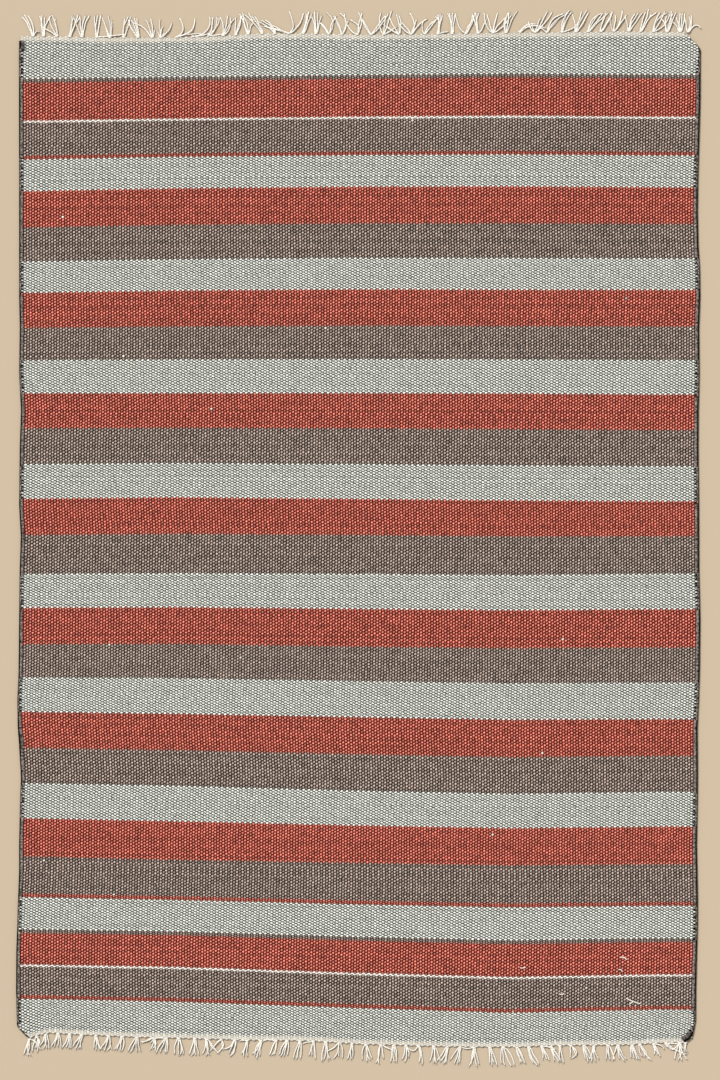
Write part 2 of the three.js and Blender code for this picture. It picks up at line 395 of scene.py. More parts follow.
def underside_finish(yarn):
    """The back of one yarn's stripes: ribs and staggered picks by their place on the cloth, painted shade
    between the beads and a painted highlight on them.
    """
    finish, tree, shader = yarn_shader("underside_" + yarn, UNDERSIDE["roughness"])
    dye = YARNS[yarn]
    cloth = node(tree, "TexCoord")["Object"]
    place = node(tree, "SeparateXYZ", cloth)
    rib = calc(tree, "MULTIPLY", place[0], np.pi / UNDERSIDE["rib_pitch"])
    pick = calc(tree, "MULTIPLY", place[1], np.pi / (dye["pick"] * MM))
    beads = calc(tree, "MULTIPLY", calc(tree, "SINE", rib), calc(tree, "SINE", pick))
    raised = calc(tree, "MULTIPLY_ADD", beads, 0.5, 0.5)
    fibre = node(tree, "TexNoise", cloth, None, UNDERSIDE["fibre_scale"], UNDERSIDE["fibre_detail"])[0]
    # Painted shade lies between the raised beads and a painted highlight on them, broken up by the fibres.
    worn = calc(tree, "MULTIPLY", raised, fibre)
    tree.links.new(mix(tree, worn, dyed(dye["gap"]), dyed(dye["crest"])), shader.inputs["Base Color"])
    raise_relief(tree, shader, raised, UNDERSIDE["bump"], UNDERSIDE["relief"])
    return finish


bpy.ops.mesh.primitive_grid_add(x_subdivisions=GROUND_COLUMNS, y_subdivisions=len(STRIPES), size=1)
ground = bpy.context.object
ground.name = "ground_cloth"
ground_share = np.linspace(0, 1, GROUND_COLUMNS + 1)
ground_along = stripe_edges[::-1]
grid = np.stack(
    [
        warp_lines(ground_share, ground_along),
        weft_lines(across_of(ground_share), ground_along),
        np.full((len(ground_along), len(ground_share)), GROUND_TOP),
    ],
    axis=-1,
)
ground.data.vertices.foreach_set("co", (grid + RUG_PLACE).ravel())
yarn_order = list(YARNS)
for yarn in yarn_order:
    ground.data.materials.append(underside_finish(yarn))
stripe_of_face = np.repeat(STRIPES["yarn"][::-1], GROUND_COLUMNS)
ground.data.polygons.foreach_set("material_index", [yarn_order.index(yarn) for yarn in stripe_of_face])
bpy.ops.object.mode_set(mode="EDIT")
for corner_line in WORN_CORNERS.values():
    chord = corner_line[-1] - corner_line[0]
    outward = np.array((chord[1], -chord[0]))
    outward *= np.sign(outward @ corner_line[0])
    outward /= np.linalg.norm(outward)
    cut_at = np.append((corner_line[0] + corner_line[-1]) / 2, 0) + RUG_PLACE
    bpy.ops.mesh.select_all(action="SELECT")
    bpy.ops.mesh.bisect(plane_co=cut_at, plane_no=(*outward, 0), clear_outer=True)
bpy.ops.object.mode_set(mode="OBJECT")
thickness = ground.modifiers.new("thickness", "SOLIDIFY")
thickness.thickness = GROUND_TOP - GROUND_UNDERSIDE
thickness.offset = -1
bpy.ops.object.modifier_apply(modifier="thickness")
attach(ground, "root")
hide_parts("rug_body")

# Weft and headings: dyed yarn beaten down so that it hides the warps. Each pick goes over every other
# warp, so it shows as a row of beads, staggered from pick to pick, and colours change on a zigzag.
# At each end a few picks of the undyed warp cotton make a lower, pale heading.
WARPS = 248
BEAD_HEIGHTS = {
    "cotton": (3.4, 2.8),
    "sage": (5.0, 3.7),
    "red": (5.1, 3.6),
    "brown": (5.1, 3.6),
    "cream": (5.2, 3.8),
}
TIP_SHARE = 0.635
END_RIM_HEIGHTS = np.array((1.0, 2.6)) * MM
BEAD_JITTER = {"across": 0.3 * MM, "along": 0.22 * MM, "height": 0.15 * MM, "warp": 0.12 * MM}
RIM_UV = np.array([(1, 0), (0.57, 1), (-0.57, 1), (-1, 0), (-0.57, -1), (0.57, -1)])
BEAD_FACES = len(RIM_UV)
BEAD_SLOPE = (0.7, 0.84)
FLECK_COLOUR = (236, 226, 208)
CORNER_MARGIN = 1.5 * MM

# Tones of picks and beads, as steps darker or paler: beside a change of colour, of each pick, of the near
# heading, which is made paler as painted light, and of the narrow stripes, which are 5 to 7.5 mm wide and
# have four picks each.
CHANGE_TONE = 1.5
PICK_TONE = 0.8
NEAR_HEADING_PAINTED_LIGHT = 1.5
NARROW_TONE = -1.2
MOST_TONE = 3
NARROW_WIDTHS = (5, 7.5)
NARROW_PICKS = 4
LEAST_PICKS = 2

# The yarn's own surface: patches where the painted shade between picks is shallower, fibres, hair, plies
# and relief, and how strong a tone's step is.
YARN_SURFACE = {
    "roughness": 0.9,
    "patch_scale": 42.0,
    "patch_detail": 2.0,
    "patch_range": (0.4, 0.62),
    "fibre_scale": (220, 1100, 1100),
    "fibre_detail": 3.0,
    "fibre_roughness": 0.6,
    "hair": 0.8,
    "least_hair": 0.25,
    "tone_step": 0.13,
    "ply_slant": 0.9,
    "ply_turn": 6.5,
    "ply_relief": 0.25,
    "bump": 0.5,
    "relief": 0.35 * MM,
}
weave_chance = np.random.default_rng(11)


def new_piece(name, points, faces, finish):
    """A mesh object of triangles in the rug's own measure, put at the rug's place."""
    mesh = bpy.data.meshes.new(name)
    mesh.vertices.add(len(points))
    mesh.vertices.foreach_set("co", (points + RUG_PLACE).ravel())
    mesh.loops.add(faces.size)
    mesh.loops.foreach_set("vertex_index", faces.ravel())
    mesh.polygons.add(len(faces))
    mesh.polygons.foreach_set("loop_start", np.arange(0, faces.size, 3))
    mesh.update(calc_edges=True)
    mesh.materials.append(finish)
    piece = bpy.data.objects.new(name, mesh)
    bpy.context.scene.collection.objects.link(piece)
    return piece


def write_map(piece, name, places):
    """A map of two numbers for each face corner."""
    piece.data.uv_layers.new(name=name).uv.foreach_set("vector", np.ravel(places))


def write_value(piece, name, values):
    """One number for each face."""
    piece.data.attributes.new(name, "FLOAT", "FACE").data.foreach_set("value", values)


def inside_corners(x, y, margin):
    """Which points lie inside all the worn corners' lines by a margin."""
    inside = np.ones(x.shape, bool)
    for line in WORN_CORNERS.values():
        for start, stop in zip(line[:-1], line[1:]):
            inward = np.array((start[1] - stop[1], stop[0] - start[0]))
            inward *= -np.sign(inward @ start) / np.linalg.norm(inward)
            inside &= (x - start[0]) * inward[0] + (y - start[1]) * inward[1] > margin
    return inside


def ease(tree, value, low, high, top=1.0):
    """A soft step of a value, from 0 at low to top at high."""
    return node(tree, "MapRange", value, low, high, 0.0, top, interpolation_type="SMOOTHSTEP")[0]


def toned(tree, colour, strength):
    """A colour made darker or paler."""
    made = node(tree, "VectorMath", colour, operation="SCALE")[0].node
    tree.links.new(strength, made.inputs["Scale"])
    return made.outputs[0]


def from_middle(tree, main, other, roundness):
    """How far a place on a bead is from its middle line, with the bead drawn in at its ends."""
    drawn_in = calc(tree, "MULTIPLY", calc(tree, "MULTIPLY", other, other), roundness)
    return calc(tree, "ADD", calc(tree, "ABSOLUTE", main), drawn_in)


def weft_finish(name, dye):
    """Matt yarn: painted shade where a bead dips between its neighbours, a painted highlight on its crest,
    plies raised.
    """
    surface = YARN_SURFACE
    finish, tree, shader = yarn_shader("yarn_" + name, surface["roughness"])
    bead = node(tree, "SeparateXYZ", node(tree, "UVMap", uv_map="bead")[0])
    cloth = node(tree, "TexCoord")["Object"]
    from_pick = from_middle(tree, bead[1], bead[0], dye["pick_roundness"])
    from_rib = from_middle(tree, bead[0], bead[1], dye["rib_roundness"])
    patch_noise = node(tree, "TexNoise", cloth, None, surface["patch_scale"], surface["patch_detail"])[0]
    patch = ease(tree, patch_noise, *surface["patch_range"], dye["patches"])
    pick_shade_depth = calc(tree, "SUBTRACT", 1.0, patch)
    # Painted shade: the darkest colour is mixed in where a bead dips towards its rim between its
    # neighbours.
    rib_gap = ease(tree, from_rib, *dye["rib_gap"])
    pick_gap = calc(tree, "MULTIPLY", ease(tree, from_pick, *dye["pick_gap"]), pick_shade_depth)
    rib_unshaded = calc(tree, "SUBTRACT", 1.0, rib_gap)
    pick_unshaded = calc(tree, "SUBTRACT", 1.0, pick_gap)
    unshaded_share = calc(tree, "MULTIPLY", rib_unshaded, pick_unshaded)
    # Painted highlight: the crest colour is mixed in on each bead's crown, broken up by the fibres.
    rib_highlight = ease(tree, from_rib, *dye["rib_highlight"])
    pick_highlight = ease(tree, from_pick, *dye["pick_highlight"])
    highlight = calc(tree, "MULTIPLY", rib_highlight, pick_highlight)
    along_yarn = node(tree, "Mapping", cloth)[0].node
    along_yarn.inputs["Scale"].default_value = surface["fibre_scale"]
    fibre_grain = (1.0, surface["fibre_detail"], surface["fibre_roughness"])
    fibre = node(tree, "TexNoise", along_yarn.outputs[0], None, *fibre_grain)[0]
    tone = node(tree, "Attribute", attribute_name="tone")["Fac"]
    fleck = node(tree, "Attribute", attribute_name="fleck")["Fac"]
    hairy = calc(tree, "MULTIPLY_ADD", fibre, surface["hair"], surface["least_hair"])
    pale = mix(tree, calc(tree, "MULTIPLY", highlight, hairy), dyed(dye["body"]), dyed(dye["crest"]))
    flecked = mix(tree, fleck, pale, dyed(FLECK_COLOUR))
    # The painted shade is laid over the body and its painted highlight here.
    gaps = mix(tree, unshaded_share, dyed(dye["gap"]), flecked)
    strength = calc(tree, "MULTIPLY_ADD", tone, surface["tone_step"], 1.0)
    tree.links.new(toned(tree, gaps, strength), shader.inputs["Base Color"])
    slant = calc(tree, "MULTIPLY_ADD", bead[0], surface["ply_slant"], bead[1])
    plies = calc(tree, "SINE", calc(tree, "MULTIPLY", slant, surface["ply_turn"]))
    relief = calc(tree, "MULTIPLY_ADD", plies, surface["ply_relief"], fibre)
    leaning = [calc(tree, "MULTIPLY", way, slope) for way, slope in zip(bead, BEAD_SLOPE)]
    dome = node(tree, "VectorMath", node(tree, "CombineXYZ", *leaning, 1.0)[0], operation="NORMALIZE")[0]
    to_world = {"vector_type": "NORMAL", "convert_from": "OBJECT", "convert_to": "WORLD"}
    dome = node(tree, "VectorTransform", dome, **to_world)[0]
    raise_relief(tree, shader, relief, surface["bump"], surface["relief"], dome)
    return finish


narrow = (STRIPES["width"] > NARROW_WIDTHS[0]) & (STRIPES["width"] < NARROW_WIDTHS[1])
even_picks = [max(LEAST_PICKS, round(width / YARNS[yarn]["pick"])) for yarn, width in STRIPES]
picks_of_stripe = np.where(narrow, NARROW_PICKS, even_picks)
pick_stripe = np.repeat(np.arange(len(STRIPES)), picks_of_stripe)
pick_stripe = np.array([pick_stripe[0], *pick_stripe, pick_stripe[-1]])
pick_yarn = STRIPES["yarn"][pick_stripe]
pick_width = (STRIPES["width"] / picks_of_stripe)[pick_stripe] * MM
pick_along = stripe_edges[0] + pick_width[0] - np.cumsum(pick_width) + pick_width / 2
warp_share = (np.arange(-1, WARPS + 1) + 0.5) / WARPS
lattice = (len(pick_yarn), len(warp_share))
bead_x = warp_lines(warp_share, pick_along)
bead_x = bead_x + weave_chance.normal(0, BEAD_JITTER["across"], lattice)
bead_y = weft_lines(across_of(warp_share), pick_along)
bead_y = bead_y + weave_chance.normal(0, BEAD_JITTER["along"], lattice)
warp_rise = weave_chance.normal(0, BEAD_JITTER["warp"], lattice[1])
bead_rise = weave_chance.normal(0, BEAD_JITTER["height"], lattice) + warp_rise
crest, valley = np.transpose([BEAD_HEIGHTS[yarn] for yarn in pick_yarn])
tip_reach = TIP_SHARE * 2 * (HALF_WIDTH - TUCK_UNDER_EDGE) / WARPS
tip_slant = (np.array([YARNS[yarn]["slant"] for yarn in pick_yarn]) * pick_width)[:, None]
tip_height = np.broadcast_to(valley[:, None] * MM, lattice).copy()
tip_height[[0, -1]] = END_RIM_HEIGHTS[:, None]
beads = np.stack(
    [
        np.stack([bead_x, bead_y, crest[:, None] * MM + bead_rise], axis=-1),
        np.stack([bead_x - tip_reach, bead_y - tip_slant, tip_height], axis=-1),
        np.stack([bead_x + tip_reach, bead_y + tip_slant, tip_height], axis=-1),
    ],
    axis=2,
)
bead_number = np.arange(beads[..., 0].size).reshape(beads.shape[:3])
unevenness = np.array([YARNS[yarn]["unevenness"] for yarn in pick_yarn])[:, None]
pick_tone = np.diff(weave_chance.normal(0, PICK_TONE, (lattice[0] + 1, 1)), axis=0) * unevenness
# Painted light: the near heading's picks are made paler, as if the light fell more squarely on them.
pick_tone[(pick_yarn == "cotton") & (pick_along < 0)] += NEAR_HEADING_PAINTED_LIGHT
pick_tone[narrow[pick_stripe]] += NARROW_TONE
pale_pick = ~np.isin(pick_yarn, ("red", "brown"))
beside_change = (pale_pick != np.roll(pale_pick, 1)) | (pale_pick != np.roll(pale_pick, -1))
pick_tone[beside_change, 0] += CHANGE_TONE * np.where(pale_pick, 1, -1)[beside_change]
bead_tone = weave_chance.normal(0, 1, lattice) * unevenness + pick_tone
bead_tone = np.clip(bead_tone, -MOST_TONE, MOST_TONE)
bead_fleck = weave_chance.random(lattice)
woven = np.add.outer(np.arange(lattice[0]), np.arange(lattice[1])) % 2 == 0
woven &= inside_corners(bead_x, bead_y, CORNER_MARGIN)
woven[[0, -1]] = False
woven[:, [0, -1]] = False


def weave(name, yarn, picks, node_name):
    """One yarn's beads: each a low dome of six faces round its middle, on rims that neighbours share."""
    row, warp = np.nonzero(woven & picks[:, None])
    rim = np.stack(
        [
            bead_number[row, warp, 2],
            bead_number[row - 1, warp + 1, 1],
            bead_number[row - 1, warp - 1, 2],
            bead_number[row, warp, 1],
            bead_number[row + 1, warp - 1, 2],
            bead_number[row + 1, warp + 1, 1],
        ],
        axis=1,
    )
    middle = np.repeat(bead_number[row, warp, :1], BEAD_FACES, axis=1)
    faces = np.stack([middle, rim, np.roll(rim, -1, axis=1)], axis=-1).reshape(-1, 3)
    used, faces = np.unique(faces, return_inverse=True)
    faces = faces.reshape(-1, 3)
    piece = new_piece(name, beads.reshape(-1, 3)[used], faces, weft_finish(name, YARNS[yarn]))
    corner_uv = np.stack([np.zeros((BEAD_FACES, 2)), RIM_UV, np.roll(RIM_UV, -1, axis=0)], axis=1)
    write_map(piece, "bead", np.broadcast_to(corner_uv, (len(row), *corner_uv.shape)))
    pick_rank = np.cumsum(picks)[row]
    bake_middle = np.stack([warp / (WARPS + 2), 1 - pick_rank / (pick_rank.max() + 2)], axis=-1)
    bake_reach = np.array((TIP_SHARE / (WARPS + 2), 1 / (pick_rank.max() + 2)))
    write_map(piece, "OFBake", bake_middle[:, None, None] + corner_uv * bake_reach)
    write_value(piece, "tone", np.repeat(bead_tone[row, warp], BEAD_FACES))
    is_fleck = bead_fleck[row, warp] < YARNS[yarn]["flecks"]
    write_value(piece, "fleck", np.repeat(is_fleck, BEAD_FACES).astype(float))
    is_middle = used % 3 == 0
    edge_ends = np.empty(2 * len(piece.data.edges), int)
    piece.data.edges.foreach_get("vertices", edge_ends)
    between_beads = ~is_middle[edge_ends.reshape(-1, 2)].any(axis=1)
    piece.data.attributes.new("sharp_edge", "BOOLEAN", "EDGE").data.foreach_set("value", between_beads)
    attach(piece, "root")
    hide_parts(node_name)
    return piece


in_far_half = pick_along > 0
wefts = [
    weave("weft_" + yarn, yarn, pick_yarn == yarn, "rug_body")
    for yarn in ("sage", "red", "brown", "cream")
]
headings = [
    weave("heading_far", "cotton", (pick_yarn == "cotton") & in_far_half, "fringe_far"),
    weave("heading_near", "cotton", (pick_yarn == "cotton") & ~in_far_half, "fringe_near"),
]

# Overcast edges: dark yarn whipped over both long sides and round the worn corners, on a rolled core.
# The stitches taper to points on the cloth, so that weft shows between them as teeth, and the thread
# is gathered into a thick end at the near right corner.
EDGE_WIDTH = 7 * MM
RIGHT_EDGE_START = 3
STITCH_PITCH = 6.6 * MM
STITCH_SLANT = 1.8 * MM
STITCH_SIDES = 6
STITCH_THREADS = 3
THREAD_FULLNESS = 1.25
STITCH_JITTER = 0.5 * MM
FULLNESS_JITTER = 0.1
HEIGHT_POWER = 0.4
THREAD_TONE = 0.8
GATHERED_SHADE = 1.5
CORE_TONE = -1.0
EDGE_SURFACE = {
    "roughness": 0.95,
    "gloss": 0.01,
    "fibre_spread": 14.0,
    "fibre_grain": (9.0, 3.0, 0.65),
    "mottle_grain": (330.0, 2.0),
    "mottle_range": (0.42, 0.62, 0.8),
    "tone_step": 0.3,
    "least_tone": 0.3,
    "outer_side_shade": (0.36, 0.48, 0.95),
    "points": (0.31, 0.22, 0.98),
    "plies": 2.0,
    "ply_turns": 8.0,
    "ply_relief": 0.4,
    "bump": 0.6,
    "relief": 0.5 * MM,
}
# The last colour is near black: painted shade on the outer side and the core, and the dark of the mottling
# and the points.
EDGE_COLOURS = {"thread": (118, 108, 101), "worn": (182, 170, 160), "gap": (8, 6, 6)}

# How far in from the edge the stitches' body and points reach on each yarn, in millimetres, and how full
# the points are.
EDGE_REACHES = {
    "cotton": (6.4, 7.2, 1),
    "sage": (3.6, 8.6, 0.54),
    "red": (6.4, 7.2, 1),
    "brown": (6.4, 7.4, 1),
    "cream": (6.4, 7.2, 1),
}
POINTED_WIDTHS = (4, 9)

# A stitch from its point over the edge and under it: shares of the body's and the point's reach, an inset
# of its own, its height and its half sizes, in millimetres.
STITCH = np.array(
    [
        (1, 1, 0, 5.5, 0.6, 0.45),
        (1, 0.5, 0, 5.7, 2.2, 0.6),
        (1, 0, 0, 5.75, 3.3, 0.7),
        (0.5, 0, 0, 5.5, 3.4, 0.75),
        (0, 0, 1, 4.2, 3.4, 0.75),
        (0, 0, 0.75, 2.4, 3.3, 0.75),
        (0, 0, 1.7, 1.1, 3.1, 0.7),
        (0.6, 0, 0, 0.8, 2.5, 0.5),
    ],
    dtype=[
        ("of_body", float),
        ("of_point", float),
        ("inset", float),
        ("height", float),
        ("half_width", float),
        ("half_height", float),
    ],
)

# The whipped edge's width at places along each side, from near to far, in millimetres.
LEFT_WIDTHS = np.array(
    [
        (-900, 2.4),
        (-876, 2.6),
        (-868, 7),
        (-392, 7),
        (-362, 10),
        (-330, 7),
        (876, 7.5),
        (884, 10.5),
        (904, 10.5),
    ],
    dtype=[("along", float), ("width", float)],
)
RIGHT_WIDTHS = np.array(
    [
        (-905, 12.5),
        (-888, 12),
        (-879, 6),
        (-872, 4),
        (-862, 4.5),
        (-845, 7.5),
        (848, 7.8),
        (864, 4.5),
        (880, 3),
        (890, 1.6),
    ],
    dtype=[("along", float), ("width", float)],
)
CORE = {"inset": 0.54, "half_width": 0.42, "height": 2.9 * MM, "half_height": 2.3 * MM, "sides": 8}
edge_chance = np.random.default_rng(23)


def unit(vectors):
    return vectors / np.linalg.norm(vectors, axis=-1, keepdims=True)


def thread_tubes(line, across, half_width, half_height, sides, swell=1.0):
    """Closed tubes along lines of points, with each face corner's place round and along its tube."""
    count, rings = line.shape[:2]
    upward = unit(np.cross(np.gradient(line, axis=1), across))
    turn = 2 * np.pi * np.arange(sides) / sides
    sideways = (half_width[..., None] * np.cos(turn) * swell)[..., None] * across[:, :, None]
    raised = (half_height[..., None] * np.sin(turn) * swell)[..., None] * upward[:, :, None]
    walls = (line[:, :, None] + sideways + raised).reshape(count, rings * sides, 3)
    points = np.concatenate([walls, line[:, [0, -1]]], axis=1)
    ring, side = (a.ravel() for a in np.mgrid[: rings - 1, :sides])
    here = ring * sides + side
    beside = ring * sides + (side + 1) % sides
    last = (rings - 1) * sides
    rim = np.arange(sides)
    rim_next = (rim + 1) % sides
    start_cap = np.full(sides, rings * sides)
    faces = np.concatenate(
        [
            np.stack([here, beside, beside + sides], axis=1),
            np.stack([here, beside + sides, here + sides], axis=1),
            np.stack([start_cap, rim_next, rim], axis=1),
            np.stack([start_cap + 1, last + rim, last + rim_next], axis=1),
        ]
    )
    around, along = side / sides, ring / (rings - 1)
    around_next, along_next = (side + 1) / sides, (ring + 1) / (rings - 1)
    ends = np.full(sides, 0.5)
    places = np.concatenate(
        [
            np.stack([around, along, around_next, along, around_next, along_next], axis=1),
            np.stack([around, along, around_next, along_next, around, along_next], axis=1),
            np.stack([ends, 0 * ends, (rim + 1) / sides, 0 * ends, rim / sides, 0 * ends], axis=1),
            np.stack([ends, 2 * ends, rim / sides, 2 * ends, (rim + 1) / sides, 2 * ends], axis=1),
        ]
    )
    numbered = faces + (np.arange(count) * points.shape[1])[:, None, None]
    return points.reshape(-1, 3), numbered.reshape(-1, 3), np.tile(places, (count, 1))


def joined(*groups):
    """Several groups of tubes as one: points, faces and places."""
    starts = np.cumsum([0] + [len(points) for points, _, _ in groups[:-1]])
    return (
        np.concatenate([points for points, _, _ in groups]),
        np.concatenate([faces + start for (_, faces, _), start in zip(groups, starts)]),
        np.concatenate([places for _, _, places in groups]),
    )


def walk(path, step):
    """Even steps along a path: each one's place, its way ahead and the way into the rug."""
    reach = np.append(0, np.cumsum(np.linalg.norm(np.diff(path, axis=0), axis=1)))
    at = (np.arange(round(reach[-1] / step)) + 0.5) * reach[-1] / round(reach[-1] / step)
    place = np.stack([np.interp(at, reach, path[:, 0]), np.interp(at, reach, path[:, 1])], axis=1)
    ahead = unit(np.gradient(place, axis=0))
    inward = np.stack([ahead[:, 1], -ahead[:, 0]], axis=1)
    flat = np.zeros((len(at), 1))
    place, ahead, inward = (np.hstack([vectors, flat]) for vectors in (place, ahead, inward))
    return place, ahead, inward


def ply_wave(tree, thread, plies, turns):
    """A wave that follows a thread's plies round it and along it."""
    turned = calc(tree, "MULTIPLY", thread[1], turns)
    phase = calc(tree, "MULTIPLY_ADD", thread[0], plies, turned)
    return calc(tree, "SINE", calc(tree, "MULTIPLY", phase, 2 * np.pi))


def overcast_finish():
    """Dark whipped yarn: fibres along each stitch, some rubbed paler, and painted shade near black at the
    outer side.
    """
    surface = EDGE_SURFACE
    finish, tree, shader = yarn_shader("overcast_yarn", surface["roughness"])
    shader.inputs["Specular IOR Level"].default_value = surface["gloss"]
    shader.inputs["Sheen Weight"].default_value = 0
    thread = node(tree, "SeparateXYZ", node(tree, "UVMap", uv_map="thread")[0])
    cloth = node(tree, "TexCoord")["Object"]
    spread = calc(tree, "MULTIPLY", thread[0], surface["fibre_spread"])
    fibre_map = node(tree, "CombineXYZ", spread, thread[1])[0]
    place = node(tree, "VectorMath", fibre_map, cloth, operation="ADD")[0]
    fibre = node(tree, "TexNoise", place, None, *surface["fibre_grain"])[0]
    mottle = node(tree, "TexNoise", cloth, None, *surface["mottle_grain"])[0]
    tone = node(tree, "Attribute", attribute_name="tone")["Fac"]
    pale = mix(tree, fibre, dyed(EDGE_COLOURS["thread"]), dyed(EDGE_COLOURS["worn"]))
    mottle_share = ease(tree, mottle, *surface["mottle_range"])
    mottled = mix(tree, mottle_share, pale, dyed(EDGE_COLOURS["gap"]))
    stepped = calc(tree, "MULTIPLY_ADD", tone, surface["tone_step"], 1.0)
    uneven = toned(tree, mottled, calc(tree, "MAXIMUM", stepped, surface["least_tone"]))
    # Painted shade: each stitch goes near black from its outer side round to its underside.
    outer = ease(tree, thread[1], *surface["outer_side_shade"])
    pointed = node(tree, "Attribute", attribute_name="pointed")["Fac"]
    point = calc(tree, "MULTIPLY", ease(tree, thread[1], *surface["points"]), pointed)
    shade_and_points = calc(tree, "MAXIMUM", outer, point)
    whole = mix(tree, shade_and_points, uneven, dyed(EDGE_COLOURS["gap"]))
    tree.links.new(whole, shader.inputs["Base Color"])
    plies = ply_wave(tree, thread, surface["plies"], surface["ply_turns"])
    relief = calc(tree, "MULTIPLY_ADD", plies, surface["ply_relief"], fibre)
    raise_relief(tree, shader, relief, surface["bump"], surface["relief"])
    return finish


def overcast(name, path, widths, slant, finish):
    """One long side's whipped edge, sewn along a path that has the rug on its right."""
    place, ahead, inward = walk(path, STITCH_PITCH)
    width = np.interp(place[:, 1] / MM, widths["along"], widths["width"]) * MM
    scale = (width / EDGE_WIDTH)[:, None]
    side_edges = weft_lines(np.sign(path[-1:, 0]) * HALF_WIDTH, stripe_edges)[:, 0]
    stripe = np.searchsorted(-side_edges, -place[:, 1]).clip(1, len(STRIPES)) - 1
    narrowest, widest = np.array(POINTED_WIDTHS) * MM
    gathered = width > widest
    yarn_under = np.where(gathered | (width < narrowest), "brown", STRIPES["yarn"][stripe])
    body, point, full = np.transpose([EDGE_REACHES[yarn] for yarn in yarn_under])[..., None]
    inset = STITCH["of_body"] * body + STITCH["of_point"] * (point - body) + STITCH["inset"]
    inset = inset * MM * scale
    height = STITCH["height"] * MM * scale**HEIGHT_POWER
    slant = slant * (inset / (point * MM * scale))
    slant += edge_chance.normal(0, STITCH_JITTER, scale.shape)
    line = (
        place[:, None]
        + inset[..., None] * inward[:, None]
        + slant[..., None] * ahead[:, None]
        + height[..., None] * np.array((0, 0, 1))
    )
    fullness = 1 + edge_chance.normal(0, FULLNESS_JITTER, scale.shape)
    fullness = fullness * np.where(STITCH["of_body"] == 1, full, 1)
    thread_width = STITCH["half_width"] * MM * fullness / STITCH_THREADS
    beside = np.arange(STITCH_THREADS) - (STITCH_THREADS - 1) / 2
    spread = (2 * beside[:, None] * thread_width[:, None])[..., None] * ahead[:, None, None]
    line = (line[:, None] + spread).reshape(-1, *line.shape[1:])
    stitches = thread_tubes(
        line,
        np.repeat(ahead, STITCH_THREADS, axis=0)[:, None] * np.ones((len(STITCH), 1)),
        np.repeat(thread_width, STITCH_THREADS, axis=0) * THREAD_FULLNESS,
        STITCH["half_height"] * MM * np.ones((len(line), 1)),
        STITCH_SIDES,
    )
    core_reach = body * MM * scale
    core_line = place + CORE["inset"] * core_reach * inward + np.array((0, 0, CORE["height"]))
    core_height = np.full(core_reach.T.shape, CORE["half_height"])
    core_points, core_faces, core_places = thread_tubes(
        core_line[None], inward[None], CORE["half_width"] * core_reach.T, core_height, CORE["sides"]
    )
    # The core's places all lie at the outer end of a stitch's thread, so the whole core takes the
    # near-black painted shade.
    core = (core_points, core_faces, np.ones_like(core_places))
    points, faces, places = joined(stitches, core)
    piece = new_piece(name, points, faces, finish)
    write_map(piece, "thread", places)
    thread_tone = edge_chance.normal(0, THREAD_TONE, len(line))
    thread_tone = thread_tone - GATHERED_SHADE * np.repeat(gathered, STITCH_THREADS)
    stitch_tone = np.repeat(thread_tone, len(stitches[1]) // len(line))
    write_value(piece, "tone", np.append(stitch_tone, np.full(len(core_faces), CORE_TONE)))
    pointed = np.repeat(yarn_under == "sage", len(stitches[1]) // len(place)).astype(float)
    write_value(piece, "pointed", np.append(pointed, np.zeros(len(core_faces))))
    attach(piece, "root")
    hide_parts(name.replace("overcast", "selvedge"))
    return piece


side_stations = LONG_SIDES["along"][1:-1] * MM
left_top = far_end(-HALF_WIDTH) - FAR_HEADING_WIDTH * MM
left_path = np.vstack(
    [
        WORN_CORNERS["near_left"],
        np.stack([left_side(side_stations), side_stations], axis=1),
        (left_side(HALF_LENGTH), left_top),
    ]
)
right_path = np.vstack(
    [
        WORN_CORNERS["far_right"][RIGHT_EDGE_START:],
        np.stack([right_side(side_stations), side_stations], axis=1)[::-1],
        WORN_CORNERS["near_right"][::-1],
    ]
)
dark_yarn = overcast_finish()
overcasts = [
    overcast("overcast_left", left_path, LEFT_WIDTHS, -STITCH_SLANT, dark_yarn),
    overcast("overcast_right", right_path, RIGHT_WIDTHS, STITCH_SLANT, dark_yarn),
]

# Fringe: the warps' cut ends, twisted cotton strands knotted in groups hard against each heading.
# They lie on the floor as they fell, some leaning, crossing a neighbour or run along the rug's end,
# and their cut tips have frayed.
STRAND_RADIUS = 1.4 * MM
STRAND_TIP_SHARE = 0.8
STRAND_RINGS = 14
STRAND_SIDES = 8
STRAND_PLIES = 2
STRAND_ROOT_PITCH = 1.3 * MM
STRAND_CHANCE = {"tip": 1.0 * MM, "bow": 0.12, "wave": 0.55 * MM}
LAYER_RISE = 2.2 * MM
TWIST_LENGTH = 13 * MM
TWIST_SWELL = 0.16
WAVE_TURNS = (0.6, 1.8)
BEND_PLACE = np.array((0.4, 0.5))
DROP_SHARE = 0.25
FRAY = {
    "fibres": 4,
    "rings": 4,
    "sides": 3,
    "length": 4.5 * MM,
    "shortest": 0.4,
    "start": -0.3,
    "radius": 0.32 * MM,
    "tip_share": 0.4,
    "splay": 0.5,
    "lift": (-0.15, 0.1),
    "clearance": 1.5,
}
KNOT = {
    "across": 2.6 * MM,
    "upward": 1.2 * MM,
    "height": 2.6 * MM,
    "along": 2.4 * MM,
    "turns": 1.8,
    "rings": 16,
    "skew": 0.25,
    "thread_share": 0.85,
}
KNOT_PLACE = 1.2 * MM
UNSHADED_TURN = 0.75
COTTON_SURFACE = {
    "roughness": 0.88,
    "ply_turns": 7.0,
    "ply_edge": 0.55,
    "fibre_grain": (900.0, 3.0),
    "side_shade_from": (0.75, 0.1),
    "tone_step": 0.05,
    "mean_tone": 0.98,
    "fibre_relief": 0.3,
    "bump": 0.7,
    "relief": 0.6 * MM,
}
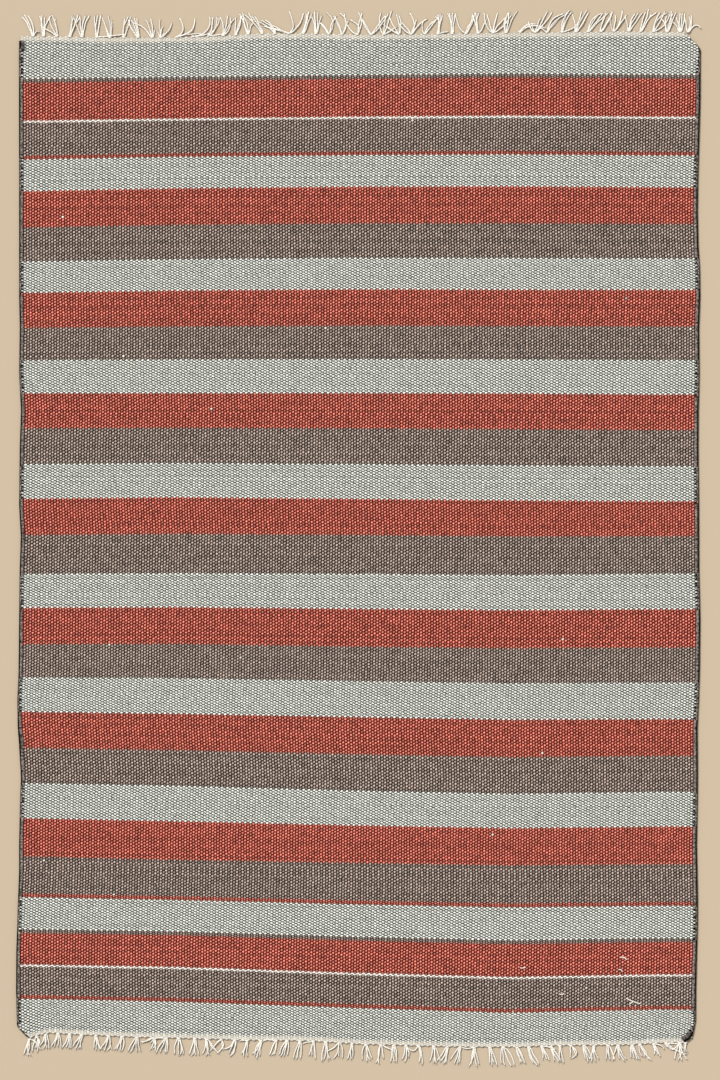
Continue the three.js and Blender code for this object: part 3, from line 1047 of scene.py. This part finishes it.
# How strong the painted shade on the strands' lower half and sides is.
FRINGE_SIDE_SHADE = 0.75
# The third colour is painted shade between the plies, and the side colour is painted shade on each cord's
# lower half and sides.
COTTON = {
    "body": (252, 247, 236),
    "worn": (255, 254, 249),
    "gap": (222, 212, 194),
    "side": (96, 78, 58),
}

# Each knot's place across the rug, and how far to the right and outward of it each strand's tip lies.
# A strand that hooks also has the place that it bends towards.
FAR_KNOTS = [
    (-586, (-17, 34), (-13, 37), (-10, 36), (10, 5, 2, 10)),
    (-567, (-4, 35), (-1, 36), (2, 33), (11, 35)),
    (-543, (-13, 36), (-9, 37), (-5, 31), (-28, 17)),
    (-520, (5, 36), (10, 37), (14, 38), (18, 36)),
    (-498, (-12, 32), (-4, 37), (6, 37), (11, 38)),
    (-471, (-3, 37), (2, 38), (6, 37), (48, 3)),
    (-448, (-10, 36), (-5, 37), (-9, 24), (2, 30)),
    (-423, (4, 32), (8, 36), (12, 38)),
    (-397, (-12, 30), (-7, 33), (-3, 33), (-16, 31)),
    (-372, (-9, 29), (-4, 33), (-6, 24), (-32, 25), (3, 12)),
    (-356, (0, 30), (4, 18), (16, 22), (-4, 9), (6, 8)),
    (-326, (31, 34, 34, 6), (5, 34, 20, 10), (40, 5)),
    (-298, (30, 33, 36, 3), (44, 31, 46, 2)),
    (-271, (10, 33, 9, 4), (16, 32, 16, 6), (30, 3)),
    (-244, (-3, 33, 6, 10), (8, 33, 4, 6), (12, 31, 14, 8), (17, 30)),
    (-221, (8, 36), (12, 35), (2, 30)),
    (-199, (-14, 36), (-8, 37), (10, 20), (-6, 30)),
    (-174, (-28, 33), (-20, 30), (-14, 28), (-24, 36)),
    (-151, (-24, 24), (-30, 20), (-18, 22)),
    (-126, (-34, 10), (-30, 14), (24, 36, 16, 8), (-2, 38, 14, 12), (-40, 12)),
    (-100, (6, 34), (10, 37), (12, 38), (14, 34)),
    (-77, (-6, 30), (-2, 38), (3, 38), (8, 33)),
    (-54, (-14, 18), (-16, 22), (-4, 37, 16, 18), (10, 30)),
    (-30, (-14, 32), (-12, 28), (8, 22, 2, 8), (-6, 36, 16, 22)),
    (-3, (-22, 36, -18, 8), (-12, 26, 14, 10), (5, 26), (7, 38)),
    (22, (-20, 38, -8, 12), (-12, 26), (24, 34), (30, 37)),
    (45, (-2, 36), (4, 34), (14, 40), (20, 12)),
    (71, (-24, 18), (-24, 12), (-18, 30), (-6, 34, 4, 14), (-2, 33)),
    (94, (-22, 28, -16, 8), (-18, 22), (-2, 36, 14, 14), (26, 25, 8, 16), (8, 24)),
    (119, (14, 22), (18, 24), (4, 26), (24, 30, 4, 8)),
    (143, (-4, 30), (0, 33), (4, 34), (6, 33), (14, 4)),
    (168, (-4, 36), (-7, 34), (0, 37), (3, 34)),
    (193, (-18, 36, -14, 8), (6, 20), (12, 34), (14, 36)),
    (215, (-4, 36), (-8, 34), (0, 34), (12, 24)),
    (242, (-14, 36, -12, 8), (-9, 34), (5, 36), (24, 26), (30, 30)),
    (265, (6, 36), (9, 36), (16, 37), (4, 33)),
    (290, (28, 12, 10, 18), (14, 15), (44, 8, 20, 20)),
    (317, (-6, 16), (10, 26), (22, 36), (26, 34), (-10, 18)),
    (339, (28, 34), (34, 33), (-14, 8), (20, 26)),
    (366, (10, 34), (15, 36), (18, 35), (30, 26, 24, 4)),
    (391, (-4, 30), (10, 36), (16, 36), (20, 32)),
    (413, (22, 30), (26, 31), (28, 28), (18, 31)),
    (436, (10, 33), (14, 34), (20, 34), (17, 30)),
    (459, (-4, 32, -6, 10), (4, 30), (14, 34, 12, 8), (20, 30)),
    (486, (-5, 28), (12, 30), (16, 32), (22, 30)),
    (508, (12, 34), (14, 38), (18, 30), (24, 34, 6, 20)),
    (531, (14, 32), (18, 34), (22, 33), (26, 30, 18, 6)),
    (555, (4, 36), (0, 30), (8, 34), (12, 33), (-6, 24)),
    (578, (-6, 26), (0, 33), (4, 34), (6, 30), (-10, 20)),
    (593, (-4, 30), (0, 26), (4, 28, 8, 12), (21, 6, 12, 20)),
]
NEAR_KNOTS = [
    (-592, (-8, 26), (-4, 28), (-1, 30, -10, 16), (8, 18, 14, 4)),
    (-579, (-6, 25), (-2, 26), (4, 22), (-4, 18, 14, 10)),
    (-563, (-9, 24), (-4, 25), (2, 25), (4, 24)),
    (-541, (-10, 22), (-6, 23), (0, 24), (4, 24)),
    (-520, (-12, 24), (-6, 24), (0, 24), (2, 23)),
    (-498, (-14, 22), (-12, 24), (-6, 25), (-4, 24)),
    (-473, (-4, 24), (0, 25), (6, 25), (8, 24)),
    (-450, (-12, 24), (-8, 25), (-2, 25, 6, 14), (4, 24)),
    (-426, (-12, 22), (-8, 24), (-4, 25), (-2, 24)),
    (-399, (-14, 24), (-10, 25), (0, 25), (4, 24)),
    (-370, (-20, 6), (-16, 10), (-4, 20), (2, 22), (0, 18, 8, 8)),
    (-347, (-24, 7, -16, -4), (-16, 24), (-10, 25), (-4, 26), (0, 25)),
    (-324, (-4, 26), (0, 28), (4, 28), (7, 27)),
    (-295, (-8, 28), (-4, 30), (2, 29), (5, 28)),
    (-273, (-6, 26), (0, 28), (6, 28), (16, 20), (18, 24)),
    (-248, (-16, 18), (-20, 22), (4, 18), (-6, 24, 10, 12)),
    (-223, (-16, 14, -6, 16), (-10, 24), (-8, 28), (-6, 26)),
    (-201, (-9, 24), (-6, 28), (-2, 28), (-12, 2)),
    (-176, (-14, 24), (-10, 26), (-8, 30), (-5, 26)),
    (-149, (-12, 25), (-8, 25), (-4, 25), (-24, 1)),
    (-129, (-14, 24), (-10, 28), (-6, 28), (-2, 26)),
    (-106, (-10, 30), (-6, 31), (-2, 30)),
    (-82, (-6, 24), (-4, 26), (3, 29), (-16, 4)),
    (-59, (-6, 32), (-2, 34), (3, 33), (4, 31)),
    (-36, (-20, 16), (-8, 28), (0, 24), (4, 28)),
    (-12, (-6, 26), (-4, 28), (0, 24)),
    (13, (-4, 26), (0, 30), (6, 26), (10, 24)),
    (40, (-6, 32), (-2, 31), (4, 24), (20, 10)),
    (63, (-2, 28), (2, 30), (5, 29), (4, 22)),
    (85, (-6, 25), (-2, 28), (5, 22)),
    (108, (2, 30), (4, 31), (6, 28), (-20, 2, -8, 16)),
    (135, (-4, 27), (0, 28), (2, 30), (8, 26)),
    (159, (-16, 24), (-8, 27), (-4, 28), (-12, 26)),
    (182, (-14, 24), (-8, 29), (-5, 29), (-2, 28)),
    (207, (-8, 34), (-4, 30), (4, 34), (6, 32), (-18, 0, -6, 4)),
    (236, (2, 28), (4, 32), (9, 33), (6, 29)),
    (260, (0, 28), (4, 32), (14, 31), (18, 32, 12, 8)),
    (285, (10, 26), (14, 27), (8, 30), (11, 22)),
    (306, (10, 28), (13, 32), (16, 31), (8, 24)),
    (330, (4, 22), (10, 24), (14, 26), (22, 6)),
    (346, (8, 26), (12, 27), (16, 26)),
    (362, (-2, 26), (2, 28), (6, 29)),
    (382, (8, 20), (2, 24, 18, 12), (0, 22)),
    (405, (4, 24), (8, 28), (12, 28), (9, 24)),
    (423, (-6, 24), (-2, 26), (4, 29), (6, 24)),
    (449, (-2, 24), (4, 25), (8, 25), (2, 20)),
    (467, (-8, 25), (4, 24), (10, 27), (12, 26)),
    (492, (0, 22), (4, 24), (8, 25), (12, 24)),
    (506, (10, 22), (14, 25), (18, 25), (6, 20)),
    (531, (8, 18), (10, 22), (4, 16), (18, 8, 12, 0)),
    (553, (36, 20, 14, 14), (12, 6, 4, 8), (20, 4, 14, 20), (30, 8, 26, -2)),
    (578, (-8, 29), (-3, 31), (3, 32), (9, 30)),
    (588, (0, 18), (3, 16)),
]
fringe_chance = np.random.default_rng(31)


def cotton_finish(name, side_shade):
    """Undyed cotton cord: two plies twisted together, painted shade between them, pale where they stand
    out, and painted shade on its lower half and sides.
    """
    surface = COTTON_SURFACE
    finish, tree, shader = yarn_shader(name, surface["roughness"])
    thread = node(tree, "SeparateXYZ", node(tree, "UVMap", uv_map="thread")[0])
    plies = ply_wave(tree, thread, STRAND_PLIES, surface["ply_turns"])
    raised = calc(tree, "MULTIPLY_ADD", plies, 0.5, 0.5)
    fibre = node(tree, "TexNoise", node(tree, "TexCoord")["Object"], None, *surface["fibre_grain"])[0]
    tone = node(tree, "Attribute", attribute_name="tone")["Fac"]
    # Painted shade: the darkest cotton colour lies in the crevice between the two plies.
    ply_share = ease(tree, raised, 0.0, surface["ply_edge"])
    shaded = mix(tree, ply_share, dyed(COTTON["gap"]), dyed(COTTON["body"]))
    fluffy = mix(tree, calc(tree, "MULTIPLY", raised, fibre), shaded, dyed(COTTON["worn"]))
    # Painted shade: the side colour darkens each cord's lower half and sides, where it turns away from the
    # light.
    upper = calc(tree, "SINE", calc(tree, "MULTIPLY", thread[0], -2 * np.pi))
    side_shade_share = ease(tree, upper, *surface["side_shade_from"], side_shade)
    side_shaded = mix(tree, side_shade_share, fluffy, dyed(COTTON["side"]))
    strength = calc(tree, "MULTIPLY_ADD", tone, surface["tone_step"], surface["mean_tone"])
    tree.links.new(toned(tree, side_shaded, strength), shader.inputs["Base Color"])
    relief = calc(tree, "MULTIPLY_ADD", fibre, surface["fibre_relief"], raised)
    raise_relief(tree, shader, relief, surface["bump"], surface["relief"])
    return finish


def level_across(line):
    """For lines of points, the level way across each one's run."""
    ahead = np.gradient(line, axis=1)
    return unit(np.stack([ahead[..., 1], -ahead[..., 0], np.zeros(line.shape[:2])], axis=-1))


def strand_lines(knot_places, knots, outward):
    """Each strand's line, from its knot to its tip on the floor."""
    roots, tips, bends = [], [], []
    for place, (_, *strands) in zip(knot_places, knots):
        order = np.argsort([strand[0] for strand in strands])
        for rank, strand in zip(np.argsort(order) - (len(strands) - 1) / 2, strands):
            tip = np.array(strand[:2]) * MM + fringe_chance.normal(0, STRAND_CHANCE["tip"], 2)
            bow = fringe_chance.normal(0, STRAND_CHANCE["bow"]) * np.array((tip[1], -tip[0]))
            bend = np.array(strand[2:]) * MM if strand[2:] else tip * BEND_PLACE + bow
            roots.append(place + np.array((rank * STRAND_ROOT_PITCH, 0)))
            tips.append(tip)
            bends.append(bend)
    roots, tips, bends = (np.array(places)[:, None] for places in (roots, tips, bends))
    share = np.linspace(0, 1, STRAND_RINGS)
    t = share[:, None]
    plan = 2 * t * (1 - t) * bends + t**2 * tips
    plan = roots + plan * np.array((1, outward))
    total = len(plan)
    wave_turns = fringe_chance.uniform(*WAVE_TURNS, (total, 1))
    wave_start = fringe_chance.uniform(0, 2 * np.pi, (total, 1))
    wave = STRAND_CHANCE["wave"] * np.sin(2 * np.pi * wave_turns * share + wave_start) * np.sqrt(share)
    plan += wave[..., None] * level_across(plan)[..., :2]
    layer = fringe_chance.random((total, 1))
    drop = (KNOT["height"] - STRAND_RADIUS) * np.clip(1 - share / DROP_SHARE, 0, 1)
    rise = LAYER_RISE * layer * np.sin(np.pi * share) ** 2
    lying = STRAND_RADIUS * (1 + TWIST_SWELL)
    return np.concatenate([plan, (lying + drop + rise)[..., None]], axis=-1)


def fray_lines(strands):
    """Loose fibres that spread from each strand's cut tip."""
    tips = np.repeat(strands[:, -1], FRAY["fibres"], axis=0)
    onward = np.repeat(unit(strands[:, -1] - strands[:, -2]), FRAY["fibres"], axis=0)
    count = len(tips)
    spread = fringe_chance.normal(0, FRAY["splay"], count)
    turned = np.stack(
        [
            onward[:, 0] * np.cos(spread) - onward[:, 1] * np.sin(spread),
            onward[:, 0] * np.sin(spread) + onward[:, 1] * np.cos(spread),
            fringe_chance.uniform(*FRAY["lift"], count),
        ],
        axis=1,
    )
    length = FRAY["length"] * fringe_chance.uniform(FRAY["shortest"], 1, count)
    share = np.linspace(FRAY["start"], 1, FRAY["rings"])
    lines = tips[:, None] + turned[:, None] * (length[:, None] * share)[..., None]
    lines[..., 2] = np.maximum(lines[..., 2], FRAY["clearance"] * FRAY["radius"])
    return lines


def knot_lines(knot_places, outward):
    """The thread wound round each group at its root."""
    coil = np.linspace(0, 2 * np.pi * KNOT["turns"], KNOT["rings"])
    along = KNOT["along"] * np.linspace(-0.5, 0.5, KNOT["rings"])
    turn = fringe_chance.normal(0, KNOT["skew"], (len(knot_places), 1))
    across = KNOT["across"] * np.cos(coil)
    x = knot_places[:, :1] + across * np.cos(turn) - along * np.sin(turn)
    y = knot_places[:, 1:] + outward * (across * np.sin(turn) + along * np.cos(turn))
    z = KNOT["height"] + KNOT["upward"] * np.sin(coil) * np.ones_like(turn)
    return np.stack([x, y, z], axis=-1)


def fringe(end, outward, rug_end, knots, finish):
    """One end's knots, strands and frayed tips."""
    knot_x = np.array([knot[0] for knot in knots]) * MM
    knot_places = np.stack([knot_x, rug_end(knot_x) + outward * KNOT_PLACE], axis=1)
    strands = strand_lines(knot_places, knots, outward)
    taper = STRAND_RADIUS * np.linspace(1, STRAND_TIP_SHARE, STRAND_RINGS) * np.ones((len(strands), 1))
    reach = np.cumsum(np.linalg.norm(np.gradient(strands, axis=1), axis=-1), axis=1)[..., None]
    turns = np.arange(STRAND_SIDES) / STRAND_SIDES + reach / TWIST_LENGTH
    twist = 2 * np.pi * STRAND_PLIES * turns
    swell = 1 + TWIST_SWELL * np.cos(twist)
    cords = thread_tubes(strands, level_across(strands), taper, taper, STRAND_SIDES, swell)
    frays = fray_lines(strands)
    fray_taper = FRAY["radius"] * np.linspace(1, FRAY["tip_share"], FRAY["rings"])
    fray_taper = fray_taper * np.ones((len(frays), 1))
    fibre_points, fibre_faces, fibre_places = thread_tubes(
        frays, level_across(frays), fray_taper, fray_taper, FRAY["sides"]
    )
    # The loose fibres all take the place on top of their thread, where no painted shade falls.
    fibre_places[:, ::2] = UNSHADED_TURN
    fibres = (fibre_points, fibre_faces, fibre_places)
    coils = knot_lines(knot_places, outward)
    coil_across = np.broadcast_to((0.0, 1.0, 0.0), coils.shape)
    coil_radius = np.full(coils.shape[:2], STRAND_RADIUS * KNOT["thread_share"])
    wound = thread_tubes(coils, coil_across, coil_radius, coil_radius, STITCH_SIDES)
    points, faces, places = joined(cords, fibres, wound)
    piece = new_piece("strands_" + end, points, faces, finish)
    write_map(piece, "thread", places)
    strand_tone = np.repeat(fringe_chance.normal(0, 1, len(strands)), len(cords[1]) // len(strands))
    write_value(piece, "tone", np.append(strand_tone, np.zeros(len(fibre_faces) + len(wound[1]))))
    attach(piece, "root")
    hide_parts("fringe_" + end)
    return piece


cotton = cotton_finish("fringe_cotton", FRINGE_SIDE_SHADE)
fringes = [
    fringe("far", 1, far_end, FAR_KNOTS, cotton),
    fringe("near", -1, near_end, NEAR_KNOTS, cotton),
]

# Loose thread ends: short bits of white thread and lint that lie on the weave near its near right corner.
# Each is a thin twisted end, drawn along a few bends on top of the beads.
THREAD_END_RADIUS = 0.9 * MM
THREAD_END_HEIGHT = 5.9 * MM
THREAD_END_RINGS = 10
THREAD_END_SIDES = 6
# How strong the painted shade on the thread ends' lower half and sides is.
THREAD_END_SIDE_SHADE = 0.1
THREAD_END_TONE = 2.0
THREAD_ENDS = np.array(
    [
        ((470, -753), (477, -750), (482, -757)),
        ((467, -775), (472, -772), (474, -779)),
        ((290, -771), (294, -773), (300, -770)),
        ((481, -826), (491, -832), (507, -836)),
        ((486, -837), (491, -834), (495, -831)),
        ((360, -818), (366, -821), (369, -817)),
    ],
    float,
)

bend_share = np.linspace(0, 1, THREAD_END_RINGS)[:, None]
bend_start, bend_middle, bend_stop = (THREAD_ENDS[:, None, i] * MM for i in range(3))
end_plan = (
    (1 - bend_share) ** 2 * bend_start
    + 2 * bend_share * (1 - bend_share) * bend_middle
    + bend_share**2 * bend_stop
)
end_lines = np.concatenate([end_plan, np.full((*end_plan.shape[:2], 1), THREAD_END_HEIGHT)], axis=-1)
end_radius = np.full(end_lines.shape[:2], THREAD_END_RADIUS)
points, faces, places = thread_tubes(
    end_lines, level_across(end_lines), end_radius, end_radius, THREAD_END_SIDES
)
thread_ends = new_piece("thread_ends", points, faces, cotton_finish("loose_thread", THREAD_END_SIDE_SHADE))
write_map(thread_ends, "thread", places)
write_value(thread_ends, "tone", np.full(len(faces), THREAD_END_TONE))
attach(thread_ends, "root")

# Studio: a plain pale floor under soft light from the far left and a white sky, and the camera straight
# above the rug, far enough away to see it as flat.
FLOOR_SIZE = 12
FLOOR_COLOUR = (194, 176, 151)
FLOOR_ROUGHNESS = 0.85
FLOOR_GLOSS = 0.1
VIEW_HEIGHT = 1944 * MM
VIEW_MIDDLE = Vector((2.2 * MM, -1.8 * MM, 0))
CAMERA_DISTANCE = 7.0
SUN_FROM = Vector((-0.45, 0.75, 0.95))
SUN_STRENGTH = 3.2
SUN_SPREAD = 0.22
SKY_STRENGTH = 0.5

bpy.ops.mesh.primitive_plane_add(size=FLOOR_SIZE)
floor = bpy.context.object
floor.name = "floor"
floor_finish = bpy.data.materials.new("pale_floor")
floor_finish.use_nodes = True
floor_shader = floor_finish.node_tree.nodes["Principled BSDF"]
floor_shader.inputs["Base Color"].default_value = dyed(FLOOR_COLOUR)
floor_shader.inputs["Roughness"].default_value = FLOOR_ROUGHNESS
floor_shader.inputs["Specular IOR Level"].default_value = FLOOR_GLOSS
floor.data.materials.append(floor_finish)

bpy.ops.object.light_add(type="SUN", rotation=SUN_FROM.to_track_quat("Z", "Y").to_euler())
sun = bpy.context.object.data
sun.energy = SUN_STRENGTH
sun.angle = SUN_SPREAD
sky = bpy.data.worlds.new("studio")
sky.use_nodes = True
sky.node_tree.nodes["Background"].inputs["Color"].default_value = (1, 1, 1, 1)
sky.node_tree.nodes["Background"].inputs["Strength"].default_value = SKY_STRENGTH
bpy.context.scene.world = sky
bpy.context.scene.view_settings.view_transform = "Standard"

bpy.ops.object.camera_add(location=VIEW_MIDDLE + Vector(RUG_PLACE) + Vector((0, 0, CAMERA_DISTANCE)))
camera = bpy.context.object
camera.data.lens = camera.data.sensor_width * CAMERA_DISTANCE / VIEW_HEIGHT
bpy.context.scene.camera = camera
